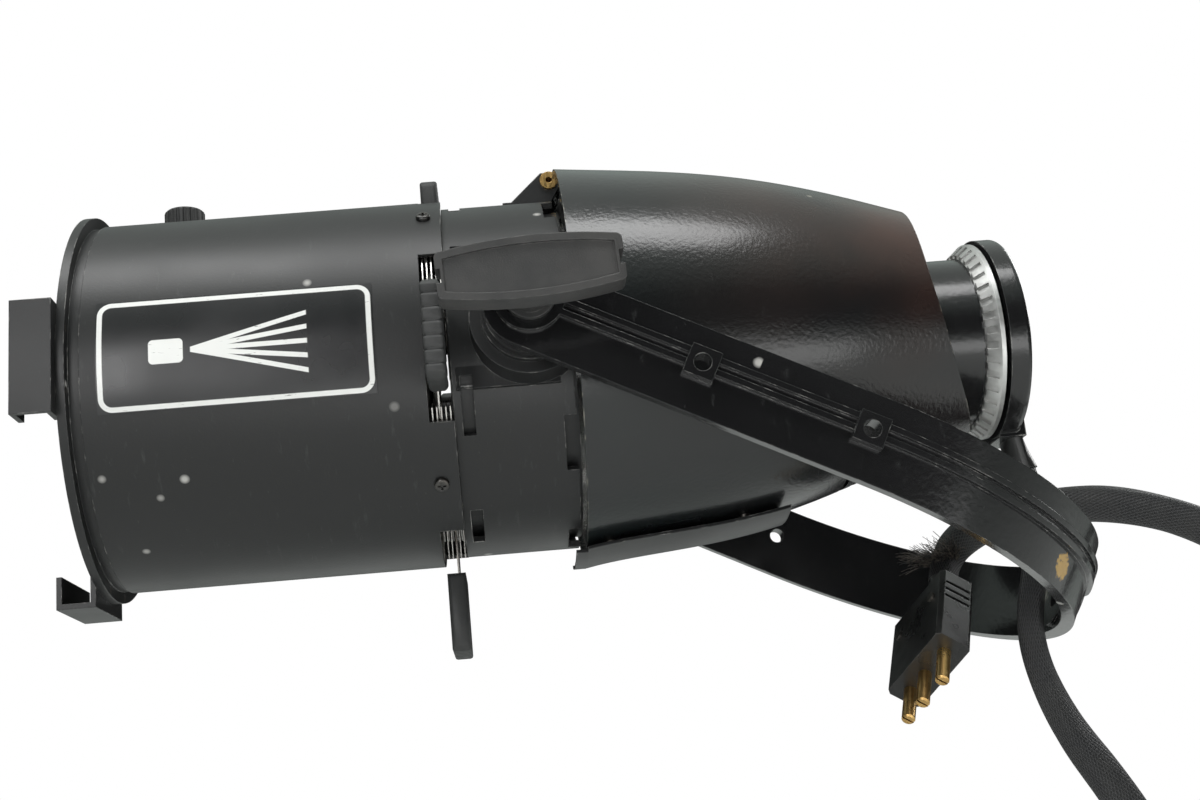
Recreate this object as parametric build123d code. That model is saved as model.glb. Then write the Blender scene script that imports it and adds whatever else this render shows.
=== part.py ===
from build123d import *
import math
import os

# A stage profile spotlight. X runs along the beam, with the lens at -X and the burner cap at +X.
# Z is up and the two yoke arms stand at -Y and +Y. All sizes are in millimetres. Pieces are drawn
# about the tilt pivot, and moved at the end so that the yoke's clamp hole is the origin.

os.makedirs("parts", exist_ok=True)

# ---- driving sizes: lens barrel
barrel_radius = 88.9
barrel_wall = 2.0
barrel_front = -196.4
barrel_rear = -35.6
notch_depth = 11.0
notch_half_angle = 26.0
focus_slot_width = 6.4
barrel_fit = 0.3

# ---- driving sizes: front ring and colour-frame claws
ring_flange_radius = 93.5
ring_flange_depth = 4.0
ring_neck_depth = 5.0
ring_spigot_depth = 8.0
ring_bore_radius = 80.0
colour_frame_width = 190.5
frame_clearance = 1.2
claw_wall = 2.5
claw_gap = 13.0
claw_width = 51.0
claw_reach = 12.5
claw_rivet_radius = 1.6

# ---- driving sizes: lens carriage
carriage_front = -176.0
carriage_length = 82.0
carriage_wall = 1.6
bead_height = 2.0
bead_width = 4.0
shelf_height = 9.0
shelf_depth = 2.0
lens_edge = 4.0
lens_crown = 13.0
lens_ring_depth = 2.5
lens_ring_height = 7.0
knob_radius = 10.0
knob_height = 10.5
knob_flutes = 18
focus_stud_radius = 2.5
carriage_forward_travel = 8.0
carriage_rear_travel = 42.0

# ---- driving sizes: gate
gate_radius = 85.0
gate_wall = 3.0
gate_rear = 18.0
gate_lip_radius = 66.0
gate_plate_depth = 1.5
aperture_radius = 39.0
guide_depth = 1.0
guide_bore_radius = 46.0
spacer_radius = 3.0
spacer_circle = 79.0
boss_radius = 26.0
boss_face = 101.0
window_depth = 5.5
window_arc = 18.0

# ---- driving sizes: shutters
blade_thickness = 0.8
blade_pitch = 2.0
blade_half_width = 46.0
blade_inner = 40.0
blade_outer = 66.0
tang_half_width = 14.0
handle_width = 42.0
handle_depth = 8.6
handle_length = 36.0
handle_outer = 132.0
top_inset = 32.5
near_shutter_angle = 95.0

# ---- driving sizes: yoke
yoke_angle = 27.2
arm_face = 125.0
arm_thickness = 6.0
arm_below = 21.0
arm_above = 16.0
arm_straight = 155.0
rail_width = 8.0
rail_height = 2.8
rail_centre = 1.2
groove_width = 2.6
groove_depth = 2.2
boss_side = 13.0
boss_height = 4.6
boss_places = (76.8, 150.4)
boss_bore_radius = 3.75
clamp_bore_radius = 6.75
clamp_pad_radius = 16.0
clamp_pad_depth = 8.5
clamp_pad_proud = 1.0

# ---- driving sizes: pivot stack and T-handles
stud_radius = 5.0
stud_fit = 0.06
washer_radius = 21.0
washer_depth = 4.0
bush_radius = 17.0
side_gap = 0.3
hub_radius = 8.5
hub_length = 36.0
wing_length = 75.0
wing_height = 26.0
wing_turn = 2.0
wing_depth = 13.0
wing_bow = 7.0
stud_grip = 16.0

# ---- driving sizes: rear hood
hood_front = 20.5
hood_wall = 2.5
hood_sections = ((20.5, 95.2, 5.7), (85.0, 88.2, 6.0), (140.0, 76.6, 6.4), (185.0, 62.0, 7.0), (226.0, 52.0, 4.0))
mouth_profile = ((191.0, 90.0), (188.5, 60.0), (187.3, 36.0), (188.6, 12.0), (191.5, -4.0), (196.0, -22.0),
                 (202.0, -36.0), (209.0, -48.0), (216.0, -62.0), (222.0, -80.0))
hinge_x = 19.0
hinge_z = 98.0
hinge_radius = 3.0
hinge_fit = 0.06
knuckle_radius = 5.5
knuckle_half = 8.0
ear_gap = 0.4
ear_depth = 3.0
plate_front = 15.0
plate_rear = 117.0
plate_offset = 4.0
plate_wall = 1.6
plate_half_angle = 17.0
louvre_count = 5

# ---- driving sizes: reflector and burner
reflector_front = 22.0
reflector_depth = 1.5
reflector_radius = 78.0
reflector_length = 112.0
reflector_hole = 22.0
reflector_rim = 86.0
tube_radius = 41.5
tube_wall = 2.0
tube_front = 150.0
tube_rear = 219.0
baffle_x = 178.0
baffle_depth = 2.0
collar_front = 215.0
collar_rear = 222.5
collar_outer = 48.4
collar_nose = 43.6
collar_fit = 0.08
collar_fins = 40
cap_front = 224.2
cap_rear = 234.7
cap_radius = 50.0
spigot_length = 26.0
spigot_fit = 0.08
socket_radius = 16.0
socket_length = 42.0
lamp_base_radius = 9.5
lamp_base_length = 20.0
lamp_radius = 9.0
lamp_length = 62.0

# ---- driving sizes: lead and plug
relief_length = 21.0
relief_top = (7.0, 23.0)
relief_tip_radius = 7.5
lead_diameter = 14.0
lead_points = (
    (236.6, 4.0, -66.0), (241.0, 4.0, -88.0), (234.0, 0.0, -112.0), (222.0, -6.0, -146.0),
    (232.0, -3.0, -184.0), (256.0, 1.0, -222.0), (276.0, 0.0, -268.0), (290.0, 3.0, -316.0),
    (308.0, 6.0, -358.0), (338.0, 10.0, -386.0), (376.0, 15.0, -386.0), (406.0, 21.0, -358.0),
    (418.0, 28.0, -314.0), (420.0, 36.0, -262.0), (416.0, 43.0, -208.0), (404.0, 50.0, -158.0),
    (380.0, 56.0, -118.0), (344.0, 60.0, -90.0), (304.0, 60.0, -76.0), (268.0, 61.0, -74.0),
    (238.0, 63.0, -78.0), (217.0, 60.5, -88.0), (205.1, 51.8, -100.1), (199.3, 40.3, -112.7),
)
arc_share = 0.45
plug_turn = (-42.3, 18.6, 116.3)
plug_size = (47.0, 18.0, 47.0)
plug_top = (192.8, 40.0, -123.7)
pin_radius = 3.2
pin_length = 20.0
pin_slot = 0.9
pin_places = (16.0, 3.0, -14.0)
neck_place = -8.0

# ---- worked-out sizes
barrel_bore = barrel_radius - barrel_wall
carriage_radius = barrel_bore - barrel_fit - bead_height
carriage_rear = carriage_front + carriage_length
carriage_bore = carriage_radius - carriage_wall
knob_x = carriage_front + carriage_length / 2 - 30.0
lens_curve = (carriage_bore ** 2 + lens_crown ** 2) / (2 * lens_crown)
lens_ring_bore = carriage_bore - lens_ring_height
lens_ring_rise = math.sqrt(lens_curve ** 2 - lens_ring_bore ** 2) - (lens_curve - lens_crown)
flange_front = barrel_front - ring_neck_depth - ring_flange_depth
claw_face = colour_frame_width / 2 + frame_clearance + claw_wall
notch_front = barrel_rear - notch_depth
handle_x = barrel_rear - notch_depth / 2
arm_inner = arm_face - arm_thickness
arm_bend = arm_inner + arm_thickness / 2
yoke_reach = arm_straight + arm_face
boss_stop = boss_face + washer_depth
clamp_reach = yoke_reach + clamp_pad_proud - clamp_pad_depth / 2

yoke_frame = Plane(origin=(0, 0, 0), x_dir=(math.cos(math.radians(yoke_angle)), 0, -math.sin(math.radians(yoke_angle))),
                   z_dir=(math.sin(math.radians(yoke_angle)), 0, math.cos(math.radians(yoke_angle))))
clamp_centre = yoke_frame.from_local_coords(Vector(clamp_reach, 0, (arm_above - arm_below) / 2))
shift = Location(-clamp_centre)


def save(name, *solids):
    """Write one node, moved so that the clamp hole is the origin."""
    found = []
    for item in solids:
        found += [shift * s for s in item.solids()]
    export_step(found[0] if len(found) == 1 else Compound(children=found), f"parts/{name}.step")


def disc(x0, x1, radius):
    """A cylinder along X from x0 to x1."""
    return Pos((x0 + x1) / 2, 0, 0) * Rot(0, 90, 0) * Cylinder(radius, x1 - x0)


def tube(x0, x1, outer, inner):
    """A ring along X from x0 to x1."""
    return disc(x0, x1, outer) - disc(x0 - 1, x1 + 1, inner)


def rod_y(x, z, y0, y1, radius):
    """A cylinder along Y."""
    return Pos(x, (y0 + y1) / 2, z) * Rot(90, 0, 0) * Cylinder(radius, abs(y1 - y0))


def block(x0, x1, y0, y1, z0, z1):
    """A box between two corners."""
    return Pos((x0 + x1) / 2, (y0 + y1) / 2, (z0 + z1) / 2) * Box(x1 - x0, y1 - y0, z1 - z0)


def turned(shape, angle):
    """A piece drawn at the top, turned about the beam axis: 0 is top, 90 is near, 180 bottom, 270 far."""
    return Rot(angle, 0, 0) * shape


def sector(x0, x1, outer, inner, middle, half_angle):
    """A piece of a ring about X, centred on one angle from the top."""
    far = outer * 1.3
    spread = math.radians(half_angle)
    wedge = Polygon((0, 0), (far * math.sin(spread), far * math.cos(spread)),
                    (-far * math.sin(spread), far * math.cos(spread)), align=None)
    prism = Pos(x0, 0, 0) * (Plane.YZ * extrude(wedge, x1 - x0))
    return turned(prism & tube(x0, x1, outer, inner), middle)


# ---- lens barrel, front ring and claws

def make_barrel():
    body = tube(barrel_front, barrel_rear, barrel_radius, barrel_bore)
    for middle in (0, 90, 180, 270):
        body -= sector(notch_front, barrel_rear + 1, barrel_radius + 5, barrel_bore - 5, middle, notch_half_angle)
    slot_front = knob_x - carriage_forward_travel
    slot_rear = knob_x + carriage_rear_travel
    slot = block(slot_front, slot_rear, -focus_slot_width / 2, focus_slot_width / 2, 0, barrel_radius + 5)
    for end in (slot_front, slot_rear):
        slot += Pos(end, 0, barrel_radius) * Cylinder(focus_slot_width / 2, 20)
    body -= slot & block(barrel_front, barrel_rear, -20, 20, barrel_radius - 15, barrel_radius + 15)
    for middle in (45, 135, 225, 315):
        body -= turned(Pos(notch_front + 3, 0, barrel_radius) * Cylinder(1.7, 12), middle)
    return body


def make_front_ring():
    ring = disc(flange_front, flange_front + ring_flange_depth, ring_flange_radius)
    ring += disc(flange_front, barrel_front, barrel_radius - 1.0)
    ring += disc(barrel_front - 1, barrel_front + ring_spigot_depth, barrel_bore)
    ring -= disc(flange_front - 1, barrel_front + ring_spigot_depth + 1, ring_bore_radius)
    for middle in (90, 180, 270):
        ring -= turned(claw_rivet_pair(claw_rivet_radius), middle)
    return ring


def claw_rivet_pair(radius):
    """Two rivet shanks behind a claw, drawn at the top."""
    z = ring_flange_radius - 2.4
    x = flange_front + ring_flange_depth / 2 - claw_wall / 2
    pair = Part()
    for side in (-14.0, 14.0):
        z_here = math.sqrt(z * z - side * side)
        pair += Pos(x, side, z_here) * Rot(0, 90, 0) * Cylinder(radius, ring_flange_depth + claw_wall)
    return pair


def make_claw():
    """One claw, drawn at the top: back plate on the ring, outer wall, and a lip in front of the frame."""
    half = claw_width / 2
    back = flange_front
    lip_back = back - claw_wall - claw_gap
    z_low = claw_face - claw_reach - claw_wall
    shape = block(back - claw_wall, back, -half, half, z_low, claw_face)
    shape += block(lip_back - claw_wall, back, -half, half, claw_face - claw_wall, claw_face)
    shape += block(lip_back - claw_wall, lip_back, -half, half, z_low, claw_face)
    return shape - claw_rivet_pair(claw_rivet_radius)


def pan_screw(shank, shank_length, head, head_height):
    """A pan-head screw along +Z, its head's underside at Z = 0, with a cross recess."""
    screw = Pos(0, 0, -shank_length / 2) * Cylinder(shank, shank_length)
    screw += Pos(0, 0, head_height / 2) * Cylinder(head, head_height)
    screw = fillet(screw.edges().group_by(Axis.Z)[-1], head_height * 0.6)
    recess = Box(head * 1.1, head * 0.28, head_height) + Box(head * 0.28, head * 1.1, head_height)
    return screw - Pos(0, 0, head_height) * recess


# ---- lens carriage

def make_carriage():
    body = tube(carriage_front, carriage_rear, carriage_radius, carriage_bore)
    for x in (carriage_front, carriage_rear - bead_width):
        body += tube(x, x + bead_width, carriage_radius + bead_height, carriage_bore)
    for x in (carriage_front + 10, carriage_rear - 16):
        body += tube(x, x + shelf_depth, carriage_radius, carriage_bore - shelf_height)
    return body - Pos(knob_x, 0, carriage_radius) * Cylinder(focus_stud_radius, 12)


def make_lens(x, crown):
    """A plano-convex lens with its flat at x, bulging towards crown's sign."""
    sign = math.copysign(1, crown)
    end = x + sign * lens_edge + crown
    ball = Pos(end - sign * lens_curve, 0, 0) * Sphere(lens_curve)
    return ball & disc(min(x, end + sign), max(x, end + sign), carriage_bore)


def make_knob():
    """The fluted focus knob above the barrel, with a blind bore for the stud."""
    base = barrel_radius + 0.8
    knob = Pos(knob_x, 0, base + knob_height / 2) * Cylinder(knob_radius, knob_height)
    knob = chamfer(knob.edges().group_by(Axis.Z)[-1], 1.0)
    for step in range(knob_flutes):
        angle = 2 * math.pi * step / knob_flutes
        knob -= Pos(knob_x + knob_radius * math.cos(angle), knob_radius * math.sin(angle), base + knob_height / 2) \
            * Cylinder(0.9, knob_height + 2)
    return knob - Pos(knob_x, 0, base + 3.5) * Cylinder(focus_stud_radius + stud_fit, 7.0)


def make_focus_stud():
    length = barrel_radius + 0.8 + 6.0 - (carriage_bore)
    return Pos(knob_x, 0, carriage_bore + length / 2) * Cylinder(focus_stud_radius, length) \
        - disc(knob_x - 5, knob_x + 5, carriage_bore)


# ---- gate

def boss_shape(side):
    """The round boss that carries the pivot on one side."""
    return rod_y(0, 0, side * (gate_radius - 14), side * boss_face, boss_radius)


def make_gate():
    body = disc(barrel_rear, gate_rear, gate_radius)
    for side in (-1, 1):
        body += boss_shape(side) & block(barrel_rear, gate_rear, -boss_face, boss_face, -boss_radius, boss_radius)
        body += block(barrel_rear + 2, 12, min(side * 70, side * 83.5), max(side * 70, side * 83.5), -26, -4)
    body -= disc(barrel_rear + gate_wall, gate_rear + 1, gate_radius - gate_wall)
    for side in (-1, 1):
        body += rod_y(0, 0, side * (boss_face - stud_grip - 6), side * (gate_radius - 1), 12.0)
        body -= rod_y(0, 0, side * (boss_face - stud_grip - 7), side * (boss_face + 1), stud_radius + stud_fit)
    body -= disc(barrel_rear - 1, barrel_rear + gate_wall + 1, gate_lip_radius)
    for step in range(8):
        middle = 22.5 + 45 * step
        body -= sector(barrel_rear + gate_wall + 0.5, barrel_rear + gate_wall + 0.5 + window_depth,
                       gate_radius + 2, gate_radius - gate_wall - 2, middle, window_arc / 2)
        body -= sector(gate_rear - window_depth, gate_rear + 1, gate_radius + 2, gate_radius - gate_wall - 2,
                       middle + 14, window_arc / 2)
    for middle in (45, 135, 225, 315):
        body -= turned(Pos(barrel_rear, 0, spacer_circle) * Rot(0, 90, 0) * Cylinder(1.6, 2 * gate_wall), middle)
    return body


def make_gate_plate():
    x0 = barrel_rear + gate_wall
    return tube(x0, x0 + gate_plate_depth, gate_lip_radius + 6, aperture_radius)


def make_guide_plate():
    plate = tube(notch_front - 0.2 - guide_depth, notch_front - 0.2, barrel_bore - 0.1, guide_bore_radius)
    for middle in (45, 135, 225, 315):
        plate -= turned(Pos(notch_front, 0, spacer_circle) * Rot(0, 90, 0) * Cylinder(1.6, 6), middle)
    return plate


def make_spacer():
    """A spacer between the guide plate and the gate, with its screw through it, drawn at the top."""
    x0 = notch_front - 0.2
    spacer = Pos((x0 + barrel_rear) / 2, 0, spacer_circle) * Rot(0, 90, 0) * Cylinder(spacer_radius, barrel_rear - x0)
    x1 = x0 - guide_depth
    x2 = barrel_rear + gate_wall
    spacer += Pos((x1 + x2) / 2, 0, spacer_circle) * Rot(0, 90, 0) * Cylinder(1.6, x2 - x1)
    return spacer


# ---- shutters: top, near, bottom, far, each drawn at the top and turned into place

def blade_x(order):
    return handle_x + (order - 1.5) * blade_pitch


def make_blade(order, inset):
    """A steel blade with chamfered shoulders and a tang that goes into its handle."""
    w = blade_half_width
    t = tang_half_width
    tang_end = handle_outer - 6
    outline = Polygon((-w, blade_inner), (w, blade_inner), (w, blade_outer), (t, blade_outer + 10), (t, tang_end),
                      (-t, tang_end), (-t, blade_outer + 10), (-w, blade_outer), align=None)
    x = blade_x(order)
    return Pos(x - blade_thickness / 2, 0, -inset) * (Plane.YZ * extrude(outline, blade_thickness))


def make_handle(order, inset):
    """The moulded handle, ribbed across both broad faces, with a pocket for the blade's tang."""
    x0 = handle_x - handle_depth / 2
    z0 = handle_outer - handle_length
    grip = block(x0, x0 + handle_depth, -handle_width / 2, handle_width / 2, z0, handle_outer)
    grip = fillet(grip.edges().filter_by(Axis.X), 4.0)
    ribs = 8
    for step in range(ribs):
        y = (step - (ribs - 1) / 2) * handle_width / ribs
        for x in (x0, x0 + handle_depth):
            grip -= block(x - 0.7, x + 0.7, y - 1.1, y + 1.1, z0 + 14, handle_outer + 1)
    tang = block(blade_x(order) - blade_thickness / 2, blade_x(order) + blade_thickness / 2,
                 -tang_half_width, tang_half_width, z0 - 1, handle_outer - 6)
    return Pos(0, 0, -inset) * (grip - tang)


# ---- yoke

def yoke_band(offset, low, high):
    """The yoke's U band, from offset behind its outer face to that face, between two heights."""
    outer = arm_face + offset
    outline = Pos(arm_straight, 0) * Circle(outer)
    outline += Pos(arm_straight / 2 - 15, 0) * Rectangle(arm_straight + 30, 2 * outer)
    return yoke_frame * (Pos(0, 0, low) * extrude(outline, high - low))


def make_yoke():
    body = yoke_band(0, -arm_below, arm_above)
    rail = yoke_band(rail_height, rail_centre - rail_width / 2, rail_centre + rail_width / 2)
    body += rail
    local_end = yoke_frame * (Pos(-30 - 40, 0, 0) * Box(80, 2 * arm_face + 50, 80))
    body -= yoke_band(-arm_thickness, -arm_below - 1, arm_above + 1)
    groove_low = rail_centre - groove_width / 2
    groove_high = rail_centre + groove_width / 2
    groove = yoke_band(rail_height + 1, groove_low, groove_high)
    groove -= yoke_band(rail_height - groove_depth, groove_low - 1, groove_high + 1)
    body -= groove
    for side in (-1, 1):
        for place in boss_places:
            y = side * (arm_face + boss_height / 2)
            body += yoke_frame * (Pos(place, y, 0) * Box(boss_side, boss_height, boss_side))
    for side in (-1, 1):
        for place in boss_places:
            hole = Pos(place, side * arm_face, 0) * Rot(90, 0, 0) * Cylinder(boss_bore_radius, 30)
            body -= yoke_frame * hole
    body -= local_end
    middle = (arm_above - arm_below) / 2
    end_radius = (arm_above + arm_below) / 2
    corner = Box(60, 2 * arm_face + 50, 80) - Pos(30, 0, middle) * Rot(90, 0, 0) * Cylinder(end_radius, 2 * arm_face + 60)
    body -= yoke_frame * (Pos(-30, 0, 0) * corner)
    pad = rod_y(0, 0, -arm_face - rail_height, arm_face + rail_height, 15.0)
    pad -= rod_y(0, 0, -arm_face, arm_face, 16.0)
    body += pad
    body -= rod_y(0, 0, -arm_face - 10, arm_face + 10, stud_radius + stud_fit)
    pad_place = Pos(clamp_reach, 0, middle) * Rot(0, 90, 0)
    body -= yoke_frame * (Pos(yoke_reach + clamp_pad_proud + 10, 0, middle) * Box(20, 44, arm_above + arm_below))
    body += yoke_frame * (pad_place * Cylinder(clamp_pad_radius, clamp_pad_depth))
    body -= yoke_frame * (pad_place * Cylinder(clamp_bore_radius, 40))
    return body


# ---- pivot stack and T-handles

def make_washer(side):
    shape = rod_y(0, 0, side * boss_face, side * boss_stop, washer_radius)
    return shape - rod_y(0, 0, side * (boss_face - 1), side * (boss_stop + 1), stud_radius + stud_fit)


def make_bush(side):
    shape = rod_y(0, 0, side * boss_stop, side * (arm_inner - side_gap), bush_radius)
    shape += rod_y(0, 0, side * boss_stop, side * (boss_stop + 5), bush_radius + 2.5)
    return shape - rod_y(0, 0, side * (boss_stop - 1), side * (arm_inner + 1), stud_radius + stud_fit)


def make_t_handle(side):
    """The moulded T-handle: a hub and a bowed wing with a raised rim on its outer face."""
    hub_base = arm_face + rail_height + side_gap
    wing_base = hub_base + hub_length - wing_depth
    with BuildSketch(Plane.XZ) as outline:
        with BuildLine():
            half = wing_length / 2
            tip = wing_height / 2 - wing_bow / 2
            ThreePointArc((-half, tip), (0, wing_height / 2), (half, tip))
            Line((half, tip), (half, -tip))
            ThreePointArc((half, -tip), (0, -wing_height / 2), (-half, -tip))
            Line((-half, -tip), (-half, tip))
        make_face()
    wing = extrude(outline.sketch, wing_depth)
    wing = fillet(wing.edges().filter_by(Axis.Y), 2.5)
    inner = Pos(0, -wing_depth + 1.2, 0) * extrude(offset(outline.sketch, -3.2), 5)
    wing -= inner
    for end in (-1, 1):
        wing -= Pos(end * wing_length / 2, -wing_depth / 2, 0) * Box(4, wing_depth + 2, 6)
    wing = Pos(0, -wing_base, 0) * Rot(0, -wing_turn, 0) * wing
    hub = rod_y(0, 0, -hub_base, -wing_base, hub_radius) + rod_y(0, 0, -hub_base, -hub_base - 3, hub_radius + 2.5)
    shape = wing + hub
    shape -= rod_y(0, 0, -hub_base + 1, -hub_base - 14, stud_radius)
    return shape if side < 0 else Rot(0, 0, 180) * shape


def make_stud(side):
    hub_base = arm_face + rail_height + side_gap
    return rod_y(0, 0, side * (boss_face - stud_grip), side * (hub_base + 14), stud_radius)


# ---- rear hood

def hood_loft(inset):
    """The tapered hood as a solid, drawn in by inset."""
    faces = []
    for x, radius, rise in hood_sections:
        faces.append(Plane(origin=(x, 0, rise), x_dir=(0, 1, 0), z_dir=(1, 0, 0)) * Circle(radius - inset))
    return loft(faces)


def mouth_cut():
    """Everything behind the rear mouth, which leans back towards its lower edge."""
    last = mouth_profile[-1]
    with BuildSketch(Plane.XZ) as side_view:
        with BuildLine():
            Spline(*mouth_profile)
            Polyline(last, (400, last[1]), (400, mouth_profile[0][1]), mouth_profile[0])
        make_face()
    return Pos(0, 100, 0) * extrude(side_view.sketch, 200)


def make_hood():
    hollow = hood_loft(hood_wall)
    start, radius, rise = hood_sections[0]
    mouth = Pos(start, 0, rise) * Rot(0, 90, 0) * Cylinder(radius - hood_wall, 2)
    shell = hood_loft(0) - hollow - mouth
    land = hood_loft(0.5) & (tube(reflector_front + reflector_depth, reflector_front + reflector_depth + 3,
                                  200, reflector_rim - 6))
    shell += land
    shell += hood_loft(0.5) & tube(baffle_x - 3, baffle_x, 200, tube_radius + 9)
    shell -= mouth_cut()
    for step in range(louvre_count):
        x = 146 + 6.0 * step
        shell -= block(x, x + 2.6, -16, 16, -90, -40)
    arm = block(hinge_x - 2, hinge_x + 14, -knuckle_half, knuckle_half, hinge_z - 5, hinge_z + 4)
    notch_half = knuckle_half + ear_gap + ear_depth + 4.0
    notch = block(hood_front - 1, hinge_x + 9, -notch_half, notch_half, 84, 110)
    shell -= notch
    shell += arm + rod_y(hinge_x, hinge_z, -knuckle_half, knuckle_half, knuckle_radius)
    shell -= rod_y(hinge_x, hinge_z, -knuckle_half - 1, knuckle_half + 1, hinge_radius + hinge_fit)
    return shell


def make_hinge_bracket():
    """Two triangular ears on a foot that follows the gate's top."""
    foot_half = knuckle_half + ear_gap + ear_depth
    foot = block(hinge_x - 24, hinge_x - 8, -foot_half, foot_half, 70, gate_radius + 3.0)
    shape = foot - disc(-100, 100, gate_radius)
    for side in (-1, 1):
        y0 = side * (knuckle_half + ear_gap)
        y1 = side * foot_half
        outline = Polygon((hinge_x - 24, gate_radius - 1), (hinge_x - 1.5, gate_radius - 1), (hinge_x + 4.5, hinge_z - 4),
                          (hinge_x + 4.5, hinge_z + 4.5), (hinge_x - 4, hinge_z + 4.5), align=None)
        ear = Pos(0, max(y0, y1), 0) * (Plane.XZ * extrude(outline, ear_depth))
        shape += ear - disc(-100, 100, gate_radius)
    return shape - rod_y(hinge_x, hinge_z, -foot_half - 1, foot_half + 1, hinge_radius)


def make_hinge_rivet():
    foot_half = knuckle_half + ear_gap + ear_depth
    rivet = rod_y(hinge_x, hinge_z, -foot_half - 1.6, foot_half + 1.6, hinge_radius)
    for side in (-1, 1):
        rivet += rod_y(hinge_x, hinge_z, side * foot_half, side * (foot_half + 1.6), hinge_radius + 1.5)
    return rivet - rod_y(hinge_x, hinge_z, -foot_half - 5, foot_half + 5, hinge_radius - 1.4)


def make_bottom_plate():
    """The curved cover plate under the hood, held a little way off it."""
    outer = hood_loft(-plate_offset - plate_wall) - hood_loft(-plate_offset)
    spread = math.radians(plate_half_angle)
    wedge = Polygon((0, 0), (-130 * math.sin(spread), -130), (130 * math.sin(spread), -130), align=None)
    keep = Pos(plate_front, 0, 0) * (Plane.YZ * extrude(wedge, plate_rear - plate_front))
    plate = outer & keep
    lip = sector(plate_front, hood_sections[0][0], hood_sections[0][1] + plate_offset + plate_wall,
                 hood_sections[0][1] + plate_offset, 180, plate_half_angle * 0.8)
    plate += Pos(0, 0, hood_sections[0][2]) * lip
    return plate


def plate_post(x, y):
    """A short post between hood and bottom plate, with a pan head below."""
    core = Pos(x, y, -70) * Cylinder(2.6, 80)
    gap = hood_loft(-plate_offset) - hood_loft(0)
    return core & gap


# ---- reflector and burner

def reflector_body(inset):
    with BuildPart() as body:
        with BuildSketch(Plane.XY):
            with BuildLine():
                EllipticalCenterArc((reflector_front, 0), reflector_length - inset, reflector_radius - inset,
                                    start_angle=0, arc_size=90)
                Polyline((reflector_front, reflector_radius - inset), (reflector_front, 0),
                         (reflector_front + reflector_length - inset, 0))
            make_face()
        revolve(axis=Axis.X)
    return body.part


def make_reflector():
    shell = reflector_body(0) - reflector_body(reflector_depth)
    shell += tube(reflector_front, reflector_front + reflector_depth, reflector_rim, reflector_radius - reflector_depth)
    return shell - disc(reflector_front + 50, reflector_front + 150, reflector_hole)


def make_baffle():
    """The spider that holds the burner tube in the hood, with vents round it."""
    plate = hood_loft(hood_wall) & disc(baffle_x, baffle_x + baffle_depth, 200)
    plate -= disc(baffle_x - 1, baffle_x + 20, tube_radius)
    for step in range(8):
        plate -= sector(baffle_x - 1, baffle_x + baffle_depth + 1, tube_radius + 11, tube_radius + 4, 45 * step, 14)
    return plate


def make_collar():
    """The turned ring behind the tube's mouth: a ribbed cone that ends in a plain rim."""
    profile = Polygon((collar_front, tube_radius + collar_fit), (collar_rear, tube_radius + collar_fit),
                      (collar_rear, collar_outer), (collar_rear - 2, collar_outer),
                      (collar_front, collar_nose), align=None)
    ring = revolve(profile, Axis.X)
    lean = math.degrees(math.atan2(collar_outer - collar_nose, collar_rear - 2 - collar_front))
    groove = Pos(collar_front, 0, collar_nose) * Rot(0, -lean, 0) * Pos(2, 0, 0) * Box(7.6, 3.4, 2.6)
    for step in range(collar_fins):
        ring -= turned(groove, 360 / collar_fins * step)
    return ring


def make_cap():
    cap = disc(cap_front, cap_rear, cap_radius)
    cap = fillet(cap.edges().sort_by(Axis.X)[-1], 3.0)
    cap -= disc(cap_rear - 4.5, cap_rear + 1, cap_radius - 7)
    cap += disc(cap_front - spigot_length, cap_front + 1, tube_radius - tube_wall - spigot_fit)
    cap -= disc(cap_front - spigot_length - 1, cap_front + 1, tube_radius - tube_wall - spigot_fit - 2)
    exit_y = lead_points[0][1]
    boss_bottom = -cap_radius - 1.0
    cap += block(cap_front, cap_rear + 2.5, exit_y - relief_top[1] / 2 - 2, exit_y + relief_top[1] / 2 + 2,
                 boss_bottom, boss_bottom + 9.0)
    return cap - make_relief()


def make_relief():
    """The tapered strain relief, in line with the lead's first run."""
    end = Vector(*lead_points[0])
    along = (Vector(*lead_points[1]) - end).normalized()
    across = Vector(0, 1, 0)
    start = end - along * relief_length
    low = Plane(origin=start, x_dir=across.cross(along), z_dir=along) * RectangleRounded(*relief_top, 3)
    high = Plane(origin=end, x_dir=across.cross(along), z_dir=along) * Circle(relief_tip_radius)
    return loft([low, high])


# ---- lead and plug

def corner_radii(points):
    """Each corner's arc: the shorter run's share, divided by the tangent of half the turn."""
    radii = []
    for before, here, after in zip(points, points[1:], points[2:]):
        first = Vector(*here) - Vector(*before)
        second = Vector(*after) - Vector(*here)
        half_turn = math.radians(first.get_angle(second)) / 2
        radii.append(arc_share * min(first.length, second.length) / math.tan(half_turn))
    return radii


def make_lead():
    radii = corner_radii(lead_points)
    print("lead radii", [round(r) for r in radii])
    path = FilletPolyline(*lead_points, radius=radii)
    start = Plane(origin=path @ 0, z_dir=path % 0)
    lead = sweep(start * Circle(lead_diameter / 2), path=path)
    area = math.pi * lead_diameter ** 2 / 4
    print("lead length", round(path.length, 1), "volume", round(lead.volume), "section x length",
          round(area * path.length))
    return lead


def plug_place(shape):
    """Place a piece drawn about the plug's top centre, +Z towards the lead."""
    return Pos(*plug_top) * Rot(*plug_turn) * shape


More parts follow.
